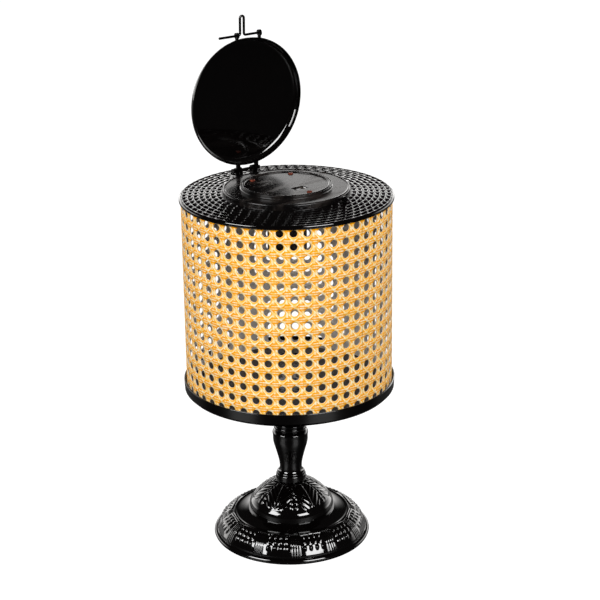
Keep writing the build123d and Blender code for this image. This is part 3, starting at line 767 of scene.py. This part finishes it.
# ---- pieces ------------------------------------------------------------------------
def add_piece(piece, body, slot, replaced, *materials):
    """Materials, body and the CAD node that a piece stands for; the slot is not used."""
    for material in materials:
        piece.data.materials.append(material)
    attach(piece, body)
    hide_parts(replaced)


def fit_spring():
    """Return spring, from its foot on the can's floor."""
    spring = make_spring()
    add_piece(spring, "drum", "zinc_steel", "trap_spring", ZINC)
    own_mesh(spring)


paint_cad_nodes()
add_piece(make_foot(), "pedestal", "cast_enamel", "base_foot", CAST)
add_piece(make_top_plate(), "drum", "black_enamel", "top_plate", GLOSS)
add_piece(make_cane_drum(), "drum", "cane_print", "cane_sheet", CANE, BACK)
fit_spring()


# ---- stage, light and camera -------------------------------------------------------
AIM = (0, 0, 0.22)           # what both softboxes face, metres
BOX_ELEVATION = 30
BOX_DISTANCE = 1.9
BOX_SIZE = (0.88, 0.85)
BOX_POWER = 25
KEY_LEFT = AXIS_AZ - 53
KEY_RIGHT = AXIS_AZ + 35
FLOOR_HALF = 9000.0
FLOOR_GLOW = 0.96            # glow of the floor, for the viewer's rays only
BACKDROP = 3.1               # glow behind the bin that the enamel mirrors
AMBIENT = 0.015              # what it mirrors everywhere else
FILL = 0.56                  # even light on matt surfaces
WARM_WHITE = (1.0, 0.985, 0.97, 1.0)
CAMERA_REACH = 1.6725        # horizontal distance from the bin's axis, metres
CAMERA_HEIGHT = 0.8557
CAMERA_PITCH = 19.98         # degrees below level
CAMERA_YAW = 0.393           # aimed this far to the right of the axis
CAMERA_ROLL = -0.783
CAMERA_LENS = 109.76         # millimetres
SENSOR_WIDTH = 36.0


def facing(azimuth, elevation, distance, target):
    """Matrix of something at a direction from the target, looking at it (local -Z)."""
    a, e = radians(azimuth), radians(elevation)
    spot = Vector((sin(a) * cos(e), -cos(a) * cos(e), sin(e))) * distance + Vector(target)
    turn = (Vector(target) - spot).to_track_quat("-Z", "Y")
    return Matrix.Translation(spot) @ turn.to_matrix().to_4x4()


def softbox(name, azimuth):
    """Rectangular studio light aimed at the middle of the bin."""
    light = bpy.data.lights.new(name, "AREA")
    light.shape = "RECTANGLE"
    light.size, light.size_y = BOX_SIZE
    light.energy = BOX_POWER
    lamp = bpy.data.objects.new(name, light)
    lamp.matrix_world = facing(azimuth, BOX_ELEVATION, BOX_DISTANCE, AIM)
    bpy.context.scene.collection.objects.link(lamp)


def make_floor():
    """Pale floor, nearly white to the viewer and dark in the enamel's reflections."""
    corners = [(x * FLOOR_HALF, y * FLOOR_HALF, 0) for x, y in ((-1, -1), (1, -1), (1, 1), (-1, 1))]
    floor = new_object("studio_floor", corners, [(0, 1, 2, 3)], smooth=False)
    n = Finish("pale_floor")
    seen = n.tree.nodes.new("ShaderNodeLightPath").outputs["Is Camera Ray"]
    n.surface(
        Base_Color=n.mix(seen, colour(26, 26, 26), colour(110, 110, 110)),
        Roughness=n.scaled(seen, 0.35, 1.0),
        Emission_Color=(1.0, 1.0, 1.0, 1.0),
        Emission_Strength=n.math("MULTIPLY", seen, FLOOR_GLOW),
    )
    floor.data.materials.append(n.material)


def make_world():
    """White to the viewer, low glow behind the bin in reflections, even fill on matt surfaces."""
    world = bpy.data.worlds.new("studio")
    bpy.context.scene.world = world
    world.use_nodes = True
    tree = world.node_tree
    background = tree.nodes["Background"]
    n = Nodes(tree)
    direction = tree.nodes.new("ShaderNodeTexCoord").outputs["Generated"]
    away = (sin(radians(-AXIS_AZ)), cos(radians(-AXIS_AZ)), 0.0)
    dot = tree.nodes.new("ShaderNodeVectorMath")
    dot.operation = "DOT_PRODUCT"
    tree.links.new(direction, dot.inputs[0])
    dot.inputs[1].default_value = away
    height = n.add("ShaderNodeSeparateXYZ", Vector=direction).outputs[2]
    behind = n.rise(0.15, 0.5, dot.outputs["Value"])
    below = n.math("SUBTRACT", 1.0, n.rise(0.04, 0.45, height))
    backdrop = n.math("MULTIPLY", n.math("MULTIPLY", behind, below), BACKDROP)
    glow = n.math("ADD", backdrop, AMBIENT)
    rays = tree.nodes.new("ShaderNodeLightPath")
    seen = rays.outputs["Is Camera Ray"]
    glossy = rays.outputs["Is Glossy Ray"]
    shiny = n.math("MULTIPLY", glow, glossy)
    matt = n.math("MULTIPLY", n.math("SUBTRACT", 1.0, n.math("ADD", seen, glossy)), FILL)
    strength = n.math("ADD", n.math("ADD", shiny, matt), seen)
    tree.links.new(strength, background.inputs["Strength"])
    background.inputs["Color"].default_value = WARM_WHITE


def make_camera():
    """Camera fitted to the outlines that the bin shows its viewer."""
    lens = bpy.data.cameras.new("viewer")
    lens.lens = CAMERA_LENS
    lens.sensor_width = SENSOR_WIDTH
    camera = bpy.data.objects.new("viewer", lens)
    a = radians(AXIS_AZ)
    spot = Vector((sin(a) * CAMERA_REACH, -cos(a) * CAMERA_REACH, CAMERA_HEIGHT))
    heading = Matrix.Rotation(radians(AXIS_AZ - CAMERA_YAW), 4, "Z")
    tilt = Matrix.Rotation(radians(90 - CAMERA_PITCH), 4, "X")
    roll = Matrix.Rotation(radians(CAMERA_ROLL), 4, "Z")
    camera.matrix_world = Matrix.Translation(spot) @ heading @ tilt @ roll
    bpy.context.scene.collection.objects.link(camera)
    bpy.context.scene.camera = camera


make_floor()
make_world()
softbox("key_left", KEY_LEFT)
softbox("key_right", KEY_RIGHT)
make_camera()
bpy.context.scene.view_settings.view_transform = "Standard"
